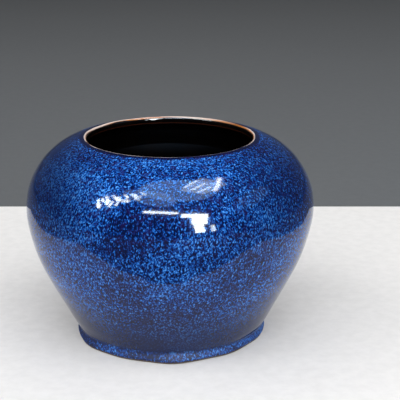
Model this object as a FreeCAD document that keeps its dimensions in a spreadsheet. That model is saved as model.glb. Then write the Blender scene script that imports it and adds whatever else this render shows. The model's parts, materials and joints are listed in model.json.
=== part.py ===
"""Squat flower vase: a thrown stoneware pot under three fired glaze coats.

Every sub-part is turned about Z from its own half section, so each one is a PartDesign body with one
sketch and one revolution. The outside is a chain of tangent arcs from the lip to the foot, and the
inside is the same chain seen through the wall, with a rounded mouth edge and a rounded floor corner.
The coats and the clay follow those two chains at a stated depth, so they meet face to face.

Each point of an arc is found from the direction of the outward normal there, in degrees from straight
up: 0 faces up, 90 faces away from the axis, 180 faces down and -90 faces the axis.
"""

import FreeCAD, Part
import os

import Sketcher

DRIVING = {
    "overall_height": 140.0,
    "widest_radius": 100.0,
    "lip_round": 2.0,
    "lip_slope": 11.0,
    "shoulder_round": 50.0,
    "shoulder_stop": 99.0,
    "belly_round": 127.5,
    "taper_tilt": 117.5,
    "waist_round": 4.0,
    "waist_height": 6.2,
    "flare_tilt": 68.0,
    "foot_round": 1.5,
    "foot_height": 2.3,
    "glaze_stop": 140.0,
    "glaze_depth": 0.7,
    "wall_depth": 5.5,
    "mouth_round": 1.5,
    "floor_height": 10.0,
    "corner_round": 14.0,
    "ring_bevel": 1.0,
    "ring_width": 8.0,
    "recess_depth": 3.0,
    "recess_draft": 1.5,
}

# Where the arc centres stand: each arc is tangent to the arc or the straight stretch before it.
DERIVED = {
    "shoulder_r": "=widest_radius - shoulder_round",
    "shoulder_z": "=overall_height - lip_round * (1 - cos(lip_slope)) - shoulder_round * cos(lip_slope)",
    "lip_r": "=shoulder_r + (shoulder_round - lip_round) * sin(lip_slope)",
    "lip_z": "=overall_height - lip_round",
    "belly_r": "=shoulder_r + (shoulder_round - belly_round) * sin(shoulder_stop)",
    "belly_z": "=shoulder_z + (shoulder_round - belly_round) * cos(shoulder_stop)",
    "taper_reach": "=belly_r * sin(taper_tilt) + belly_z * cos(taper_tilt) + belly_round",
    "waist_z": "=waist_height",
    "waist_r": "=(taper_reach + waist_round - waist_z * cos(taper_tilt)) / sin(taper_tilt)",
    "flare_reach": "=waist_r * sin(flare_tilt) + waist_z * cos(flare_tilt) - waist_round",
    "foot_z": "=foot_height",
    "foot_r": "=(flare_reach - foot_round - foot_z * cos(flare_tilt)) / sin(flare_tilt)",
    "mouth_r": "=lip_r - lip_round + mouth_round",
    "mouth_reach": "=shoulder_round - wall_depth + mouth_round",
    "mouth_tilt": "=asin((mouth_r - shoulder_r) / mouth_reach) / 1deg",
    "mouth_z": "=shoulder_z + mouth_reach * cos(mouth_tilt)",
    "corner_z": "=floor_height + corner_round",
    "corner_r": "=(taper_reach - wall_depth - corner_round - corner_z * cos(taper_tilt)) / sin(taper_tilt)",
    "ring_outer": "=foot_r - ring_bevel",
    "ring_inner": "=ring_outer - ring_width",
    "recess_edge": "=ring_inner - recess_draft",
}

SKIN = "0"
FACING_AXIS = "-90"
FACING_DOWN = "180"
HALF_TURN = "180"
ON_AXIS = "0"
ON_GROUND = "0"

START, END = 1, 2
ORIGIN_POINT = (-1, 1)
GROUND_LINE, AXIS_LINE = -1, -2
TOUCHING = 1e-6


def make_sheet(document):
    """One row per value: its name in column A, and the value or formula in column B."""
    sheet = document.addObject("Spreadsheet::Sheet", "Sheet")
    for row, (alias, content) in enumerate({**DRIVING, **DERIVED}.items(), start=1):
        sheet.set(f"A{row}", alias)
        sheet.set(f"B{row}", str(content))
        sheet.setAlias(f"B{row}", alias)
    document.recompute()
    return sheet


def cell(alias):
    return f"Sheet.{alias}"


def arc(name, radius, start, end, hollow=False):
    """An arc about the centre called name. A hollow one curves in, with its centre outside the pot."""
    reach = f"-({radius})" if hollow else f"({radius})"

    def point(angle):
        return (
            f"{cell(name + '_r')} + {reach} * sin({angle})",
            f"{cell(name + '_z')} + {reach} * cos({angle})",
        )

    return {
        "start": point(start),
        "middle": point(f"({start} + {end}) / 2"),
        "end": point(end),
        "radius": radius,
    }


def corner(r, z):
    return {"start": (r, z), "end": (r, z)}


def backwards(chain):
    return [{**piece, "start": piece["end"], "end": piece["start"]} for piece in reversed(chain)]


def lip(depth):
    """Over the lip, from the mouth face to the shoulder, `depth` below the finished surface."""
    return [arc("lip", f"{cell('lip_round')} - {depth}", FACING_AXIS, cell("lip_slope"))]


def outside(depth):
    """Shoulder, belly, straight taper, waist, flare and foot edge, `depth` below the surface."""
    return [
        arc("shoulder", f"{cell('shoulder_round')} - {depth}", cell("lip_slope"), cell("shoulder_stop")),
        arc("belly", f"{cell('belly_round')} - {depth}", cell("shoulder_stop"), cell("taper_tilt")),
        arc(
            "waist",
            f"{cell('waist_round')} + {depth}",
            cell("taper_tilt"),
            cell("flare_tilt"),
            hollow=True,
        ),
        arc("foot", f"{cell('foot_round')} - {depth}", cell("flare_tilt"), cell("glaze_stop")),
    ]


def inside(depth):
    """Mouth face and edge, under the shoulder, down the wall and across the floor to the axis."""
    underside = f"{cell('mouth_tilt')} - {HALF_TURN}"

    def through_wall(round_name):
        return f"{cell(round_name)} - {cell('wall_depth')} + {depth}"

    return [
        corner(f"{cell('lip_r')} - {cell('lip_round')} + {depth}", cell("lip_z")),
        arc("mouth", f"{cell('mouth_round')} - {depth}", FACING_AXIS, underside),
        arc("shoulder", through_wall("shoulder_round"), cell("mouth_tilt"), cell("shoulder_stop")),
        arc("belly", through_wall("belly_round"), cell("shoulder_stop"), cell("taper_tilt")),
        arc("corner", f"{cell('corner_round')} + {depth}", cell("taper_tilt"), FACING_DOWN),
        corner(ON_AXIS, f"{cell('floor_height')} - {depth}"),
    ]


def stoneware_section():
    """The fired clay: bare on the foot ring and in the recess under the floor, glazed elsewhere."""
    clay = cell("glaze_depth")
    foot_ring = [
        corner(cell("ring_outer"), ON_GROUND),
        corner(cell("ring_inner"), ON_GROUND),
        corner(cell("recess_edge"), cell("recess_depth")),
        corner(ON_AXIS, cell("recess_depth")),
    ]
    return lip(clay) + outside(clay) + foot_ring + backwards(inside(clay))


def coat_section(chain):
    """A glaze coat: from the finished surface down to the clay, closed by a butt face at each end."""
    return chain(SKIN) + backwards(chain(cell("glaze_depth")))


def joined(section, locate):
    """The section's pieces in order, with a straight edge wherever two of them don't touch."""
    edges = []
    for piece, following in zip(section, section[1:] + section[:1]):
        if "radius" in piece:
            edges.append(piece)
        if (locate(following["start"]) - locate(piece["end"])).Length > TOUCHING:
            edges.append({"start": piece["end"], "end": following["start"]})
    return edges


def pin(sketch, label, vertex, place, position):
    """Ties a vertex to the sheet by its distance from the axis and its height above the ground."""
    directions = (
        ("DistanceX", f"{label}_r", place[0], position.x, AXIS_LINE),
        ("DistanceY", f"{label}_z", place[1], position.y, GROUND_LINE),
    )
    for kind, name, expression, distance, line in directions:
        if expression in (ON_AXIS, ON_GROUND):
            sketch.addConstraint(Sketcher.Constraint("PointOnObject", *vertex, line))
            continue
        index = sketch.addConstraint(Sketcher.Constraint(kind, *ORIGIN_POINT, *vertex, distance))
        sketch.renameConstraint(index, name)
        sketch.setExpression(f"Constraints.{name}", expression)


def draw(sketch, section, sheet):
    """Draws the closed section where the sheet puts it, and constrains every vertex and radius."""

    def locate(place):
        return FreeCAD.Vector(*(float(sheet.evalExpression(expression)) for expression in place), 0)

    vertices = []
    for number, edge in enumerate(joined(section, locate)):
        start, end = locate(edge["start"]), locate(edge["end"])
        if "radius" in edge:
            index = sketch.addGeometry(Part.Arc(start, locate(edge["middle"]), end))
            radius = float(sheet.evalExpression(edge["radius"]))
            bend = sketch.addConstraint(Sketcher.Constraint("Radius", index, radius))
            sketch.renameConstraint(bend, f"bend_{number}")
            sketch.setExpression(f"Constraints.bend_{number}", edge["radius"])
        else:
            index = sketch.addGeometry(Part.LineSegment(start, end))
        kept_way = (sketch.getPoint(index, START) - start).Length < TOUCHING
        first, last = (START, END) if kept_way else (END, START)
        pin(sketch, f"point_{number}", (index, first), edge["start"], start)
        vertices.append(((index, first), (index, last)))
    for (_, last), (first, _) in zip(vertices, vertices[1:] + vertices[:1]):
        sketch.addConstraint(Sketcher.Constraint("Coincident", *last, *first))


def turn(document, sheet, node, section):
    """A body whose half section stands in the XZ plane and is turned a full circle about Z."""
    body = document.addObject("PartDesign::Body", node)
    body.Label = node
    body.Placement = FreeCAD.Placement()
    sketch = body.newObject("Sketcher::SketchObject", f"{node}_section")
    upright = next(plane for plane in body.Origin.OriginFeatures if plane.Role == "XZ_Plane")
    sketch.AttachmentSupport = (upright, [""])
    sketch.MapMode = "FlatFace"
    document.recompute()
    draw(sketch, section, sheet)
    document.recompute()
    revolution = body.newObject("PartDesign::Revolution", f"{node}_turned")
    revolution.Profile = sketch
    revolution.ReferenceAxis = (sketch, ["V_Axis"])
    revolution.Angle = 360
    body.Tip = revolution
    document.recompute()
    return body


def check(document, bodies):
    """Stops if anything failed to compute, and prints each sub-part's box and volume."""
    for item in document.Objects:
        if "Invalid" in item.State or "Error" in item.State:
            raise RuntimeError(f"{item.Name} did not compute: {item.State}")
        if item.isDerivedFrom("Sketcher::SketchObject") and not item.FullyConstrained:
            raise RuntimeError(f"{item.Name} is not fully constrained")
    for body in bodies:
        if body.Shape.isNull() or not body.Shape.isValid():
            raise RuntimeError(f"{body.Label} has no valid shape")
        box = body.Shape.optimalBoundingBox()
        size = " x ".join(f"{length:.2f}" for length in (box.XLength, box.YLength, box.ZLength))
        print(f"{body.Label}: {size} mm, from z {box.ZMin:.2f}, {body.Shape.Volume / 1000:.2f} cm3")


def main():
    document = FreeCAD.newDocument("flower_vase")
    sheet = make_sheet(document)
    sections = {
        "stoneware_body": stoneware_section(),
        "outer_glaze": coat_section(outside),
        "lip_glaze": coat_section(lip),
        "liner_glaze": coat_section(inside),
    }
    bodies = [turn(document, sheet, node, section) for node, section in sections.items()]
    check(document, bodies)
    os.makedirs("parts", exist_ok=True)
    for body in bodies:
        body.Shape.exportStep(f"parts/{body.Label}.step")


main()
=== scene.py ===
"""A squat flower vase, thrown in stoneware: speckled blue glaze outside, black glaze inside.

The four sub-parts of the frame are turned again here with a finer surface: the soft rings that fingers
leave in thrown clay, a foot whose rolled glaze edge bulges in lobes, and turning grooves underneath.
Lengths are in millimetres where they describe the pot, and in metres where they describe the room.
"""

import json
import math

import bpy
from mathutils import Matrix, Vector

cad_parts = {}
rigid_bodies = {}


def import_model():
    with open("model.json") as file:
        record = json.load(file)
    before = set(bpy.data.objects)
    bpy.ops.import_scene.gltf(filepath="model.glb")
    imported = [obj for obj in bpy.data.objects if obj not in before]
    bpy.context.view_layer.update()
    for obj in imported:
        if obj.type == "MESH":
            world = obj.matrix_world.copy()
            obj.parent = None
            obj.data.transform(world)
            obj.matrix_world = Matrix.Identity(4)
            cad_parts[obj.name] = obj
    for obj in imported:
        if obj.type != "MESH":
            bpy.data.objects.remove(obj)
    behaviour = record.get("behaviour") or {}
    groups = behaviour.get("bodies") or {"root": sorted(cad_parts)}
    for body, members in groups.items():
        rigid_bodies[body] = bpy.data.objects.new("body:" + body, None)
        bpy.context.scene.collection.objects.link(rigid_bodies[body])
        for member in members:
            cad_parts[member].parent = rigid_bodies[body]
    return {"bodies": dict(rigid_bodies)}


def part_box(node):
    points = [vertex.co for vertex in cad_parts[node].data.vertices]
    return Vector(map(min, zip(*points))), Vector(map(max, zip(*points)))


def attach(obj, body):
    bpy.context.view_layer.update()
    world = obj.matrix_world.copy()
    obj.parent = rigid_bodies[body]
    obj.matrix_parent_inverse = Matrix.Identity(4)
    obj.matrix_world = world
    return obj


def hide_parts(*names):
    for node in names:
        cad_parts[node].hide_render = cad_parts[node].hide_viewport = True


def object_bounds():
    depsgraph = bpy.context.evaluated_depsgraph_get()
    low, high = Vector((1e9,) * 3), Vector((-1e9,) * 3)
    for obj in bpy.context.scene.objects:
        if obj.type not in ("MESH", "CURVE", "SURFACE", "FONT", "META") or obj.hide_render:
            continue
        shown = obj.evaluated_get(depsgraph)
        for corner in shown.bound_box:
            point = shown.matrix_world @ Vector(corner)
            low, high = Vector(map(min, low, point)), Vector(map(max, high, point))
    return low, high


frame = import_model()
cad_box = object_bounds()

MM = 0.001

# ---------------------------------------------------------------- the half section

FACING_AXIS = -90.0
FACING_UP = 0.0
HALF_TURN = 180.0
TOP = cad_box[1].z / MM
WIDEST = cad_box[1].x / MM
GLAZE_DEPTH = 0.7
LIP_ROUND, LIP_SLOPE = 2.0, 11.0
SHOULDER_ROUND, SHOULDER_STOP = 50.0, 99.0
BELLY_ROUND, TAPER_TILT = 127.5, 117.5
WAIST_ROUND, WAIST_HEIGHT, FLARE_TILT = 4.0, 6.2, 68.0
FOOT_ROUND, FOOT_HEIGHT, GLAZE_STOP = 1.5, 2.3, 140.0
WALL_DEPTH = 5.5
MOUTH_ROUND = 1.5
FLOOR_HEIGHT, CORNER_ROUND = 10.0, 14.0


def normal(direction):
    """Radial and upward parts of the unit vector in that direction."""
    return math.sin(math.radians(direction)), math.cos(math.radians(direction))


MOUTH_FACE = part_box("lip_glaze")[1].x / MM - LIP_ROUND * (1 + normal(LIP_SLOPE)[0])
SHOULDER_CENTRE_R = WIDEST - SHOULDER_ROUND
SHOULDER_CENTRE_Z = TOP - LIP_ROUND * (1 - normal(LIP_SLOPE)[1]) - SHOULDER_ROUND * normal(LIP_SLOPE)[1]

# The mouth edge's round touches the inside of the shoulder, seen through the wall.
MOUTH_REACH = SHOULDER_ROUND - WALL_DEPTH + MOUTH_ROUND
MOUTH_TILT = math.degrees(math.asin((MOUTH_FACE + MOUTH_ROUND - SHOULDER_CENTRE_R) / MOUTH_REACH))

# Each step of a chain is ("bend", radius, direction of the normal at its end) or ("level", height).
# Directions are in degrees from straight up, 90 faces away from the axis. A negative radius is a
# hollow bend. A level step runs straight on until it reaches that height.
OUTSIDE = (
    ("bend", LIP_ROUND, LIP_SLOPE),
    ("bend", SHOULDER_ROUND, SHOULDER_STOP),
    ("bend", BELLY_ROUND, TAPER_TILT),
    ("level", WAIST_HEIGHT - WAIST_ROUND * normal(TAPER_TILT)[1]),
    ("bend", -WAIST_ROUND, FLARE_TILT),
    ("level", FOOT_HEIGHT + FOOT_ROUND * normal(FLARE_TILT)[1]),
    ("bend", FOOT_ROUND, GLAZE_STOP),
)
INSIDE = (
    ("level", SHOULDER_CENTRE_Z + MOUTH_REACH * normal(MOUTH_TILT)[1]),
    ("bend", MOUTH_ROUND, MOUTH_TILT - HALF_TURN),
    ("bend", WALL_DEPTH - SHOULDER_ROUND, SHOULDER_STOP - HALF_TURN),
    ("bend", WALL_DEPTH - BELLY_ROUND, TAPER_TILT - HALF_TURN),
    ("level", FLOOR_HEIGHT + CORNER_ROUND * (1 + normal(TAPER_TILT)[1])),
    ("bend", -CORNER_ROUND, FACING_UP),
)
CRISP = 0.35
STEP = 1.0
FLOOR_RINGS = 30
TOUCHING = 0.001


def walk(start, direction, chain):
    """Points along a chain as (radius, height, direction of the normal), about STEP apart."""
    r, z = start
    points = [(r, z, direction)]
    for kind, size, *end in chain:
        if kind == "level":
            out, up = normal(direction)
            run = (size - z) / -out
            count = max(1, round(abs(run) / STEP))
            shares = [run * i / count for i in range(1, count + 1)]
            places = [(r + up * share, z - out * share, direction) for share in shares]
        else:
            out, up = normal(direction)
            centre = (r - size * out, z - size * up)
            sweep = end[0] - direction
            count = max(8, round(abs(math.radians(sweep) * size) / STEP))
            places = []
            for i in range(1, count + 1):
                angle = direction + sweep * i / count
                out, up = normal(angle)
                places.append((centre[0] + size * out, centre[1] + size * up, angle))
        points += places
        r, z, direction = places[-1]
    return points


def below(points, depth):
    """The same points, that far under the surface."""
    return [(r - depth * normal(a)[0], z - depth * normal(a)[1], a) for r, z, a in points]


outline = walk((MOUTH_FACE, TOP - LIP_ROUND), FACING_AXIS, OUTSIDE)
lip_end = next(i for i, point in enumerate(outline) if point[2] >= LIP_SLOPE - TOUCHING)
lip_line, skin_line = outline[: lip_end + 1], outline[lip_end:]
liner_line = walk((MOUTH_FACE, TOP - LIP_ROUND), FACING_AXIS, INSIDE)
floor_edge, floor_level = liner_line[-1][0], liner_line[-1][1]
shares_left = [1 - i / FLOOR_RINGS for i in range(1, FLOOR_RINGS + 1)]
liner_line += [(floor_edge * share, floor_level, FACING_UP) for share in shares_left]

# ---------------------------------------------------------------- hand-made unevenness

# Lobes of the rolled foot edge: direction round the pot, spread in degrees, reach in mm. They are uneven
# on purpose, as fired glaze runs, and a negative reach is a hollow between two lobes.
FOOT_LOBES = (
    (-180, 22, -2.2),
    (-144, 12, 1.3),
    (-118, 7, 0.5),
    (-88, 10, 2.4),
    (-65, 8, -1.0),
    (-36, 14, -1.6),
    (-2, 18, -1.4),
    (38, 14, 0.9),
    (70, 11, -0.8),
    (104, 12, 1.2),
    (142, 13, 0.6),
)
LOBE_TOP = 13.0
# Throwing rings: spacing and depth of each set, in mm.
RINGS = ((7.3, 0.010), (11.9, 0.016), (23.0, 0.040))
LEAN = 0.5


def lobes(turn):
    """How far the foot edge stands out at that angle round the pot."""
    reach = 0.0
    for centre, spread, height in FOOT_LOBES:
        apart = (math.degrees(turn) - centre + 180) % 360 - 180
        reach += height * math.exp(-((apart / spread) ** 2))
    return reach


def uneven(r, z, turn):
    """Where a point of the perfect turned shape really lies: out of round, leaning, lobed at the foot."""
    low = max(0.0, 1.0 - z / LOBE_TOP)
    near_foot = low * low * (3 - 2 * low)
    share = r / WIDEST
    oval = 0.25 * math.cos(2 * turn + 0.8) + 0.12 * math.cos(3 * turn - 0.5)
    r = r + share * oval * min(1.0, z / 30) + near_foot * lobes(turn) * min(1.0, r / 60)
    lean = -LEAN * math.sin(math.pi * min(1.0, max(0.0, z / 90)))
    return Vector((r * math.cos(turn) + lean, r * math.sin(turn), z)) * MM


def ringed(points, strength=1.0):
    """The points with the soft spiral of throwing rings pressed into them."""
    pressed = []
    for r, z, a in points:
        fade = min(1.0, max(0.0, (z - 12) / 15)) * min(1.0, max(0.0, (TOP - z) / 4))
        depth = strength * fade * sum(size * math.sin(2 * math.pi * z / gap + gap) for gap, size in RINGS)
        pressed.append((r + depth * normal(a)[0], z + depth * normal(a)[1], a))
    return pressed


# ---------------------------------------------------------------- turned pieces

SEGMENTS = 360
SHARP = math.radians(40)


def turned(name, section):
    """A closed mesh turned about Z from a loop of (radius, height, ...) points."""
    vertices, rings = [], []
    for r, z, *_ in section:
        count = SEGMENTS if r > 1e-4 else 1
        rings.append(range(len(vertices), len(vertices) + count))
        vertices += [uneven(r, z, 2 * math.pi * i / SEGMENTS) for i in range(count)]
    faces = []
    for first, second in zip(rings, rings[1:] + rings[:1]):
        if len(first) == 1 and len(second) == 1:
            continue
        for i in range(SEGMENTS):
            j = (i + 1) % SEGMENTS
            upper = [first[i % len(first)], first[j % len(first)]]
            lower = [second[i % len(second)], second[j % len(second)]]
            faces.append(list(dict.fromkeys([upper[0], *lower, upper[1]])))
    mesh = bpy.data.meshes.new(name)
    mesh.from_pydata(vertices, [], faces)
    mesh.validate()
    mesh.shade_smooth()
    mesh.set_sharp_from_angle(angle=SHARP)
    mesh.update()
    piece = bpy.data.objects.new(name, mesh)
    bpy.context.scene.collection.objects.link(piece)
    return piece


def coat(surface, back=None):
    """The loop round a glaze coat: its surface, then back along the clay."""
    return surface + list(reversed(below(back or surface, GLAZE_DEPTH)))


def underside():
    """Foot ring and recess as (radius, height) points, with eased corners and turning grooves."""
    foot = below(skin_line[-1:], GLAZE_DEPTH)[0]
    outer = foot[0] - 0.27
    inner = outer - 8.0
    recess = inner - 1.5
    points = [(outer + CRISP, 0.1), (outer - CRISP, 0.0), (inner + CRISP, 0.0), (inner - CRISP / 2, 0.25)]
    points += [(recess + 0.15, 2.7), (recess - CRISP, 3.0)]
    grooves = int(recess - 2)
    for i in range(grooves * 2):
        r = (recess - 1.0) * (1 - i / (grooves * 2))
        points.append((r, 3.0 + 0.12 * math.sin(2 * math.pi * r / 2.6) * min(1.0, r / 6)))
    points.append((0.0, 2.6))
    return points


clay_lip = below(lip_line, GLAZE_DEPTH)
clay_skin = below(skin_line, GLAZE_DEPTH)
clay_liner = below(liner_line, GLAZE_DEPTH)
stoneware = turned("thrown_body", clay_lip + clay_skin[1:] + underside() + list(reversed(clay_liner))[:-1])
outer = turned("speckled_coat", coat(ringed(skin_line), skin_line))
lip = turned("lip_roll", coat(lip_line))
liner = turned("black_liner", coat(ringed(liner_line, -1.0), liner_line))

PIECES = (
    (stoneware, "stoneware_body", "stoneware"),
    (outer, "outer_glaze", "blue_glaze"),
    (lip, "lip_glaze", "lip_glaze"),
    (liner, "liner_glaze", "black_glaze"),
)
body = next(iter(frame["bodies"]))
for piece, node, slot in PIECES:
    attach(piece, body)
    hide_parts(node)

# ---------------------------------------------------------------- materials


class Shader:
    """One material's node tree, and short ways to add to it."""

    def __init__(self, name):
        self.material = bpy.data.materials.new(name)
        self.material.use_nodes = True
        self.nodes = self.material.node_tree.nodes
        self.surface = self.nodes["Principled BSDF"]
        self.place = self.add("ShaderNodeTexCoord").outputs["Object"]
        apart = self.add("ShaderNodeSeparateXYZ", {"Vector": self.place})
        self.sideways = apart.outputs["X"]
        self.height = apart.outputs["Z"]
        flat = self.stretched((1, 1, 0))
        self.radius = self.add("ShaderNodeVectorMath", {0: flat}, operation="LENGTH").outputs["Value"]

    def add(self, kind, inputs=None, **settings):
        node = self.nodes.new(kind)
        for key, value in settings.items():
            setattr(node, key, value)
        for key, value in (inputs or {}).items():
            if isinstance(value, bpy.types.NodeSocket):
                self.material.node_tree.links.new(value, node.inputs[key])
            else:
                node.inputs[key].default_value = value
        return node

    def stretched(self, scale):
        return self.add("ShaderNodeVectorMath", {0: self.place, 1: scale}, operation="MULTIPLY").outputs[0]

    def noise(self, scale, detail=2.0, roughness=0.5, distortion=0.0, place=None):
        inputs = {"Vector": place or self.place, "Scale": scale, "Detail": detail}
        inputs.update({"Roughness": roughness, "Distortion": distortion})
        return self.add("ShaderNodeTexNoise", inputs).outputs["Fac"]

    def cells(self, scale, place=None, randomness=1.0):
        inputs = {"Vector": place or self.place, "Scale": scale, "Randomness": randomness}
        return self.add("ShaderNodeTexVoronoi", inputs).outputs["Distance"]

    def sum(self, *terms):
        total = terms[0]
        for term in terms[1:]:
            total = self.add("ShaderNodeMath", {0: total, 1: term}, operation="ADD").outputs[0]
        return total

    def times(self, a, b):
        return self.add("ShaderNodeMath", {0: a, 1: b}, operation="MULTIPLY").outputs[0]

    def rescale(self, value, start, end, low=0.0, high=1.0):
        """Maps start..end to low..high, smoothly and no further."""
        inputs = {"Value": value, "From Min": start, "From Max": end, "To Min": low, "To Max": high}
        return self.add("ShaderNodeMapRange", inputs, interpolation_type="SMOOTHSTEP").outputs["Result"]

    def ramp(self, value, *stops):
        """Colours (red, green, blue) at places from 0 to 1."""
        node = self.add("ShaderNodeValToRGB", {"Fac": value})
        elements = node.color_ramp.elements
        while len(elements) < len(stops):
            elements.new(1.0)
        for element, (place, colour) in zip(elements, stops):
            element.position = place
            element.color = (*colour, 1)
        return node.outputs["Color"]

    def blend(self, share, under, over, mode="MIX"):
        node = self.add("ShaderNodeMix", data_type="RGBA", blend_type=mode)
        for socket, value in ((0, share), (6, under), (7, over)):
            if isinstance(value, bpy.types.NodeSocket):
                self.material.node_tree.links.new(value, node.inputs[socket])
            elif socket == 0:
                node.inputs[socket].default_value = value
            else:
                node.inputs[socket].default_value = (*value, 1)
        return node.outputs[2]

    def bump(self, height, distance, strength=1.0):
        node = self.add("ShaderNodeBump", {"Height": height, "Distance": distance, "Strength": strength})
        return node.outputs["Normal"]

    def finish(self, **inputs):
        for key, value in inputs.items():
            socket = self.surface.inputs[key.replace("_", " ")]
            if isinstance(value, bpy.types.NodeSocket):
                self.material.node_tree.links.new(value, socket)
            else:
                socket.default_value = value
        return self.material


# Base colours of the glazes, as linear red, green, blue.
INK = (0.0012, 0.0052, 0.0400)
NAVY = (0.0016, 0.0130, 0.0980)
COBALT = (0.0034, 0.0410, 0.2700)
AZURE = (0.0130, 0.1580, 0.6400)
PALE_AZURE = (0.1000, 0.3700, 0.9000)
PLUM = (0.0160, 0.0090, 0.0800)
# Painted shade colour: the blue glaze is blended towards it at its sides and above the foot.
SHADE_INDIGO = (0.0020, 0.0070, 0.0450)
LIP_PALE = (0.7700, 0.6500, 0.5900)
LIP_AMBER = (0.5200, 0.1700, 0.0300)
LIP_BROWN = (0.0900, 0.0350, 0.0150)
IRON_BLACK = (0.0012, 0.0011, 0.0012)


def blue_glaze():
    """Cobalt glaze with azure flecks over navy, darker under the lip; painted light on the shoulder, painted
    shade at the sides and above the foot.
    """
    s = Shader("speckled blue glaze")
    run = s.stretched((1.0, 1.0, 0.68))
    net = s.noise(900.0, 1.5, 0.55, 0.6, run)
    dots = s.rescale(s.cells(760.0, run), 0.10, 0.62, 0.07, -0.05)
    drift = s.rescale(s.noise(22.0, 2.0, 0.5), 0.3, 0.7, -0.04, 0.04)
    bands = s.rescale(s.noise(75.0, 2.0, 0.5, 0.3, s.stretched((0.25, 0.25, 1.0))), 0.3, 0.7, -0.03, 0.03)
    # Painted light: the flecks run a little brighter up the shoulder, where light falls from above.
    shoulder = s.rescale(s.height, 0.095, 0.132, 0.0, 0.02)
    under_lip = s.rescale(s.radius, 0.0600, 0.0632, -0.30, 0.0)
    fleck = s.sum(net, dots, drift, bands, shoulder, under_lip)
    colour = s.ramp(fleck, (0.37, INK), (0.45, NAVY), (0.52, COBALT), (0.60, AZURE), (0.73, PALE_AZURE))
    upper = s.rescale(s.height, 0.070, 0.112, 0.15, 1.0)
    tint = s.times(upper, s.rescale(s.noise(260.0, 1.0), 0.50, 0.66, 0.0, 0.50))
    colour = s.blend(tint, colour, PLUM)
    # Painted shade: the glaze darkens towards both sides, more on the left (-X), mostly on the upper body.
    aside = s.add("ShaderNodeMath", {0: s.sideways}, operation="ABSOLUTE").outputs[0]
    flank_shade = s.rescale(aside, 0.030, 0.080, 0.0, 0.55)
    left_flank_shade = s.rescale(s.sideways, -0.080, -0.040, 0.25, 0.0)
    # Painted shade: the glaze darkens low on the body above the foot, under the belly, and less on the foot
    # itself.
    waist_shade = s.rescale(s.height, 0.010, 0.058, 0.90, 0.0)
    off_foot = s.rescale(s.height, 0.0050, 0.0090, 0.30, 1.0)
    shade = s.sum(s.times(s.sum(flank_shade, left_flank_shade), upper), s.times(waist_shade, off_foot))
    colour = s.blend(shade, colour, SHADE_INDIGO)
    peel = s.noise(140.0, 2.0, 0.5)
    rough_foot = s.rescale(s.height, 0.0050, 0.0090, 0.60, 0.0)
    return s.finish(
        Base_Color=colour,
        Roughness=s.sum(s.rescale(s.noise(60.0, 2.0), 0.3, 0.7, 0.05, 0.09), rough_foot),
        IOR=1.38,
        Normal=s.bump(peel, 0.0002, 0.08),
    )


def lip_glaze():
    """The coat thins over the lip: a pale line on the crest, amber in places, black down the inner face."""
    s = Shader("lip glaze")
    wander = s.rescale(s.noise(45.0, 2.0), 0.3, 0.7, -0.0003, 0.0003)
    crest = s.rescale(s.sum(s.height, wander), 0.1390, 0.1397)
    inner = s.rescale(s.radius, 0.0577, 0.0588, 1.0, 0.0)
    warm = s.times(inner, s.rescale(s.noise(16.0, 1.0), 0.42, 0.55))
    thin = s.rescale(s.noise(21.0, 2.0), 0.56, 0.66)
    colour = s.blend(warm, s.blend(thin, LIP_PALE, LIP_BROWN), LIP_AMBER)
    colour = s.blend(crest, IRON_BLACK, colour)
    outer = s.rescale(s.sum(s.radius, wander), 0.0587, 0.0593)
    colour = s.blend(outer, colour, INK)
    return s.finish(Base_Color=colour, Roughness=0.07, IOR=1.5, Normal=s.bump(s.noise(300.0), 0.0002, 0.10))


def black_glaze():
    """Iron-black glaze, with a thin red-brown line under the mouth edge and faint streaks down the wall."""
    s = Shader("iron black glaze")
    streaks = s.noise(90.0, 3.0, 0.6, 0.4, s.stretched((1.0, 1.0, 0.12)))
    colour = s.ramp(streaks, (0.40, IRON_BLACK), (0.80, (0.0060, 0.0030, 0.0020)))
    line = s.rescale(s.height, 0.1349, 0.1354)
    line = s.times(line, s.rescale(s.height, 0.1356, 0.1362, 1.0, 0.0))
    colour = s.blend(s.times(line, 0.8), colour, (0.0500, 0.0120, 0.0050))
    dull_floor = s.rescale(s.height, 0.012, 0.040, 0.35, 0.0)
    return s.finish(
        Base_Color=colour,
        Roughness=s.sum(s.rescale(s.noise(70.0), 0.3, 0.7, 0.05, 0.10), dull_floor),
        IOR=1.5,
        Normal=s.bump(s.noise(160.0), 0.0002, 0.10),
    )


def bare_stoneware():
    """Buff fired clay with iron specks and fine grog, a little darker where the foot has rubbed."""
    s = Shader("bare stoneware")
    grain = s.noise(900.0, 4.0, 0.65)
    colour = s.ramp(grain, (0.30, (0.270, 0.190, 0.125)), (0.70, (0.480, 0.370, 0.265)))
    specks = s.rescale(s.cells(330.0), 0.10, 0.16, 1.0, 0.0)
    colour = s.blend(s.times(specks, 0.8), colour, (0.060, 0.035, 0.022))
    worn = s.rescale(s.height, 0.0, 0.0006, 0.35, 0.0)
    colour = s.blend(worn, colour, (0.180, 0.140, 0.110))
    flashed = s.rescale(s.radius, 0.0650, 0.0662)
    colour = s.blend(s.times(flashed, 0.9), colour, (0.050, 0.024, 0.014))
    return s.finish(Base_Color=colour, Roughness=0.86, Normal=s.bump(grain, 0.0003, 0.5))


COATINGS = ((stoneware, bare_stoneware), (outer, blue_glaze), (lip, lip_glaze), (liner, black_glaze))
for piece, make in COATINGS:
    piece.data.materials.append(make())

# ---------------------------------------------------------------- floor, lights and camera

AIM = Vector((0.0, 0.0, 0.10))
EYE_PLACE = (0.0209, -0.80, 0.3371)
EYE_TILT_DOWN = 16.94
EYE_LENS = 107.3


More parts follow.
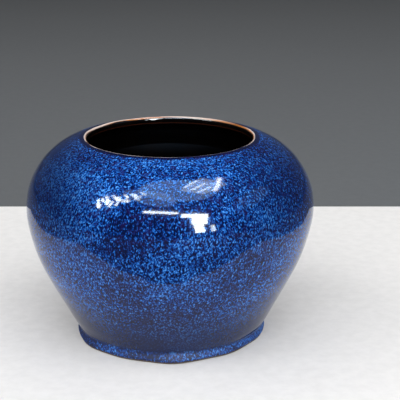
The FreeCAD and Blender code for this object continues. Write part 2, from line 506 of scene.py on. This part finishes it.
def slab(name, left, right, near, far, level, colour, roughness):
    """A level sheet of floor, with a faint mottle."""
    corners = [(left, near), (right, near), (right, far), (left, far)]
    mesh = bpy.data.meshes.new(name)
    mesh.from_pydata([(x, y, level) for x, y in corners], [], [(0, 1, 2, 3)])
    sheet = bpy.data.objects.new(name, mesh)
    bpy.context.scene.collection.objects.link(sheet)
    s = Shader(name)
    darker = tuple(part * 0.94 for part in colour)
    mottle = s.ramp(s.noise(120.0, 3.0, 0.6), (0.35, darker), (0.65, colour))
    sheet.data.materials.append(s.finish(Base_Color=mottle, Roughness=roughness))


# The pale floor ends behind and beside the pot, so the glaze mirrors a pale half below a dark half.
slab("pale_floor", -0.335, 0.320, -0.150, 0.286, -0.0002, (0.81, 0.79, 0.77), 0.7)
slab("studio_ground", -6.0, 6.0, -6.0, 6.0, -0.0015, (0.10, 0.10, 0.10), 0.9)


LAMP_DISTANCE = 2.0
SKY = (0.40, 0.64, 1.0)
DAY = (0.88, 0.97, 1.0)
WHITE = (1.0, 1.0, 1.0)
AMBIENT = (0.07, 0.075, 0.08)
SHOWS, FILLS = True, False
SLAT_ELEVATIONS = (64, 70, 76)
GAPS = 22
GAP_HEIGHT = 0.07


def softbox(name, azimuth, elevation, width, height, roll, radiance, shows, tint=WHITE, shape="RECTANGLE"):
    """A rectangular or oval light facing the pot. Azimuth 0 is on the camera's side and turns towards +X.

    One that shows gives the glaze its sharp highlights; one that doesn't only lights the surfaces softly.
    """
    turn, rise = math.radians(azimuth), math.radians(elevation)
    away = Vector((math.sin(turn) * math.cos(rise), -math.cos(turn) * math.cos(rise), math.sin(rise)))
    data = bpy.data.lights.new(name, "AREA")
    data.shape = shape
    data.size, data.size_y = width, height
    data.energy = radiance * math.pi * width * height
    data.color = tint
    lamp = bpy.data.objects.new(name, data)
    bpy.context.scene.collection.objects.link(lamp)
    lamp.location = AIM + away * LAMP_DISTANCE
    facing = away.to_track_quat("Z", "Y").to_euler()
    facing.rotate_axis("Z", math.radians(roll))
    lamp.rotation_euler = facing
    lamp.visible_camera = False
    lamp.visible_glossy = shows
    lamp.visible_diffuse = not shows


# Each lamp: name, azimuth and elevation in degrees, width and height in metres, roll in degrees, radiance.
# A window in three steps with a bar beside it.
softbox("window_top", 21.5, 31.4, 0.66, 0.20, -10, 56, SHOWS, DAY)
softbox("window", 24.5, 23.0, 0.42, 0.42, -6, 56, SHOWS, DAY)
softbox("window_foot", 23.3, 10.8, 0.25, 0.44, 4, 56, SHOWS, DAY)
softbox("window_line", -6.9, 37.4, 0.86, 0.08, 0, 50, SHOWS, DAY)
softbox("window_side", 33.5, 9.5, 0.12, 0.34, 0, 26, SHOWS, DAY)

# A soft bluish patch overhead, crossed by brighter bars.
softbox("overhead", 16.0, 69.0, 1.80, 1.30, -12, 4.2, SHOWS, SKY, "ELLIPSE")
softbox("overhead_left", -22.0, 56.0, 1.40, 0.70, -18, 3.0, SHOWS, SKY, "ELLIPSE")
softbox("overhead_right", 58.0, 68.0, 0.85, 0.62, 12, 5.5, SHOWS, DAY)
for number, elevation in enumerate(SLAT_ELEVATIONS):
    softbox(f"overhead_slat_{number}", 52.0, elevation, 0.46, 0.07, 12, 14, SHOWS, DAY)
softbox("slat", 77.1, 63.2, 0.80, 0.10, 23, 24, SHOWS)

# A ragged row of small lights, fading towards the front.
for number in range(GAPS):
    along = number / (GAPS - 1)
    sway = math.sin(2.4 * number)
    width = 0.20 + 0.08 * math.cos(1.9 * number)
    azimuth, elevation = -65 + 34 * along, 34 + 24 * along + 5 * sway
    softbox(f"gap_{number}", azimuth, elevation, width, GAP_HEIGHT, 30 * sway - 60, 46 - 36 * along, SHOWS, DAY)
softbox("side_haze", 80.0, 33.0, 1.20, 0.50, 0, 0.7, SHOWS, SKY, "ELLIPSE")

# Large soft lights all round, which the glaze doesn't mirror.
softbox("soft_top", 8.0, 54.0, 2.4, 2.0, 0, 2.3, FILLS)
softbox("soft_back", 180.0, 50.0, 2.4, 1.6, 0, 0.9, FILLS)
softbox("soft_left", -75.0, 40.0, 2.0, 1.6, 0, 1.9, FILLS)
softbox("soft_right", 80.0, 40.0, 2.0, 1.6, 0, 1.4, FILLS)
softbox("soft_front", 0.0, 22.0, 2.4, 1.0, 0, 1.5, FILLS)

world = bpy.data.worlds.new("studio")
world.use_nodes = True
world.node_tree.nodes["Background"].inputs["Color"].default_value = (*AMBIENT, 1)
bpy.context.scene.world = world

eye = bpy.data.objects.new("camera", bpy.data.cameras.new("camera"))
bpy.context.scene.collection.objects.link(eye)
eye.location = EYE_PLACE
eye.rotation_euler = (math.radians(90 - EYE_TILT_DOWN), 0, 0)
eye.data.lens = EYE_LENS
bpy.context.scene.camera = eye
bpy.context.scene.view_settings.view_transform = "Standard"
